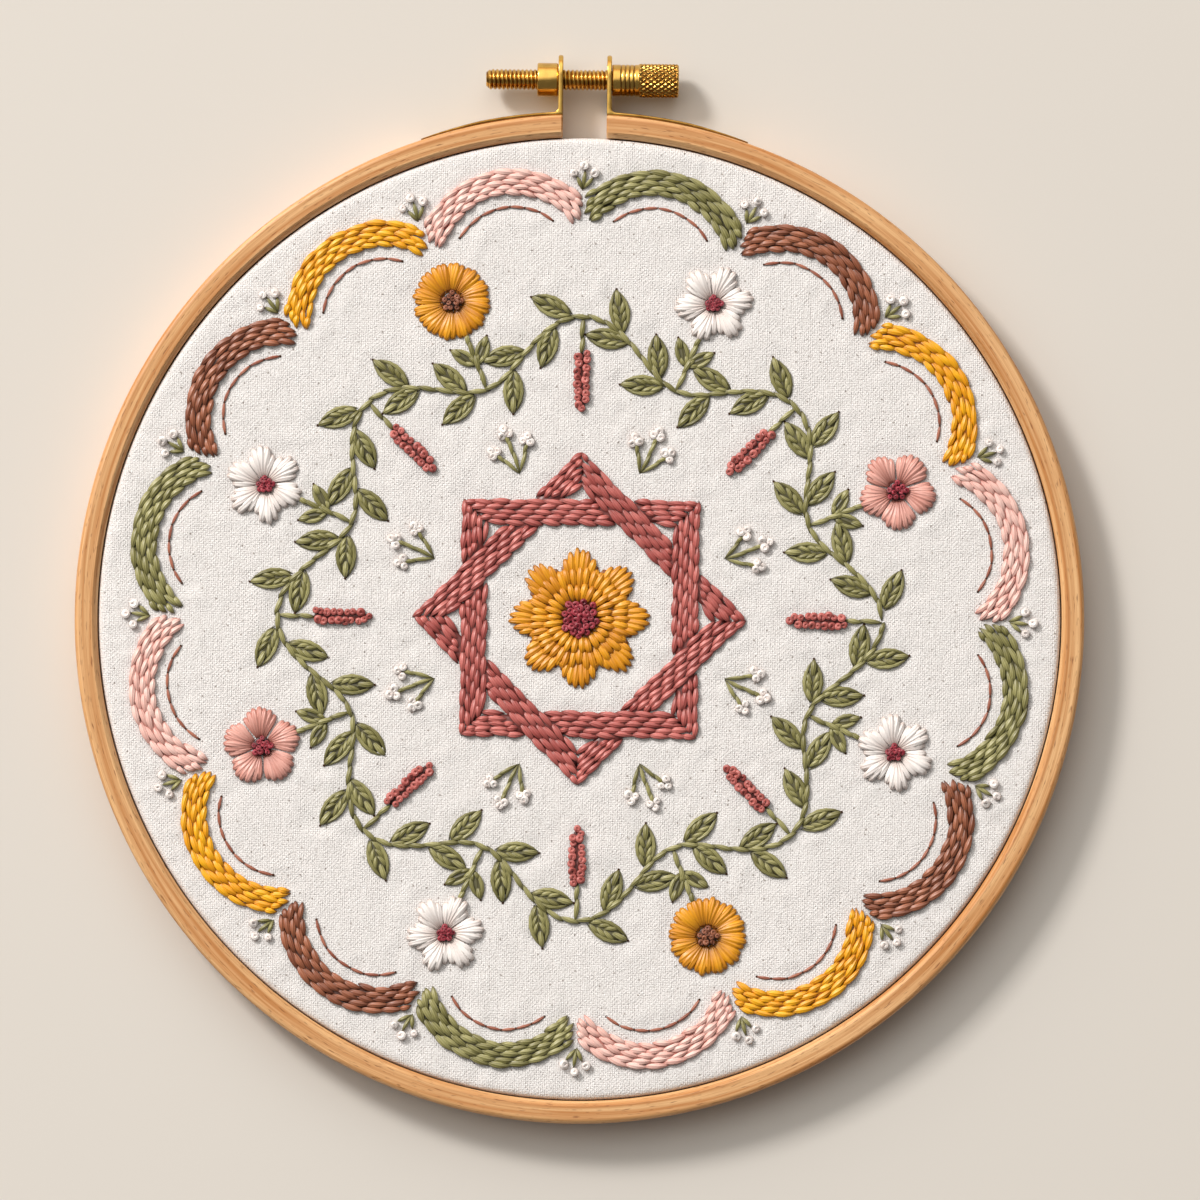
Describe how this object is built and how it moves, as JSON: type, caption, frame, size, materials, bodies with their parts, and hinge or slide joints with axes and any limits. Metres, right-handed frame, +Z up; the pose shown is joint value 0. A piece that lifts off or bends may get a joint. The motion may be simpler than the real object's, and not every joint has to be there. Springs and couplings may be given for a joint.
{
  "type": "embroidered cloth in a wooden hoop with a brass clamp screw",
  "caption": "Round white cloth stretched between two pale wooden rings, embroidered with a wreath of flowers round a star, with a brass thumb-screw clamp at the top.",
  "frame": {"origin": "middle of the whole object's footprint, on the surface that its back lies on; the rings' own centre is 6.3 mm towards -Y", "axes": "+Z up through the face of the cloth, +Y towards the clamp, +X to the right as the worked side is seen with the clamp at the top"},
  "size_m": [0.2094, 0.222, 0.0109],
  "materials": {
    "pale_wood": "bent beech, sanded and clear waxed",
    "clamp_brass": "polished, slightly worn",
    "white_cloth": "plain-woven cotton, matt",
    "dusty_rose_thread": "stranded cotton floss, satin sheen",
    "rose_pink_thread": "stranded cotton floss, satin sheen",
    "mustard_thread": "stranded cotton floss, satin sheen",
    "chestnut_thread": "stranded cotton floss, satin sheen",
    "sage_thread": "stranded cotton floss, satin sheen",
    "burgundy_thread": "stranded cotton floss, satin sheen",
    "white_thread": "stranded cotton floss, satin sheen"
  },
  "bodies": {
    "frame": {"outer_hoop": "pale_wood", "inner_hoop": "pale_wood", "cloth": "white_cloth", "bracket_left": "clamp_brass", "bracket_right": "clamp_brass", "nut": "clamp_brass", "star": "dusty_rose_thread", "rosette": "mustard_thread", "rosette_eye": "burgundy_thread", "vine": "sage_thread", "wildrose_1": "rose_pink_thread", "wildrose_1_eye": "burgundy_thread", "starflower_2": "white_thread", "starflower_2_eye": "burgundy_thread", "marigold_3": "mustard_thread", "marigold_3_eye": "chestnut_thread", "starflower_4": "white_thread", "starflower_4_eye": "burgundy_thread", "wildrose_5": "rose_pink_thread", "wildrose_5_eye": "burgundy_thread", "starflower_6": "white_thread", "starflower_6_eye": "burgundy_thread", "marigold_7": "mustard_thread", "marigold_7_eye": "chestnut_thread", "starflower_8": "white_thread", "starflower_8_eye": "burgundy_thread", "seed_head_1": "dusty_rose_thread", "seed_head_2": "dusty_rose_thread", "seed_head_3": "dusty_rose_thread", "seed_head_4": "dusty_rose_thread", "seed_head_5": "dusty_rose_thread", "seed_head_6": "dusty_rose_thread", "seed_head_7": "dusty_rose_thread", "seed_head_8": "dusty_rose_thread", "scallop_1": "rose_pink_thread", "scallop_2": "mustard_thread", "scallop_3": "chestnut_thread", "scallop_4": "sage_thread", "scallop_5": "rose_pink_thread", "scallop_6": "mustard_thread", "scallop_7": "chestnut_thread", "scallop_8": "sage_thread", "scallop_9": "rose_pink_thread", "scallop_10": "mustard_thread", "scallop_11": "chestnut_thread", "scallop_12": "sage_thread", "scallop_13": "rose_pink_thread", "scallop_14": "mustard_thread", "scallop_15": "chestnut_thread", "scallop_16": "sage_thread"},
    "screw": {"thumb_screw": "clamp_brass"}
  },
  "joints": [
    {"name": "screw_turn", "type": "hinge", "parent": "frame", "child": "screw", "pos_m": [0, 0.1058, 0.005], "axis": [1, 0, 0], "continuous": true}
  ]
}
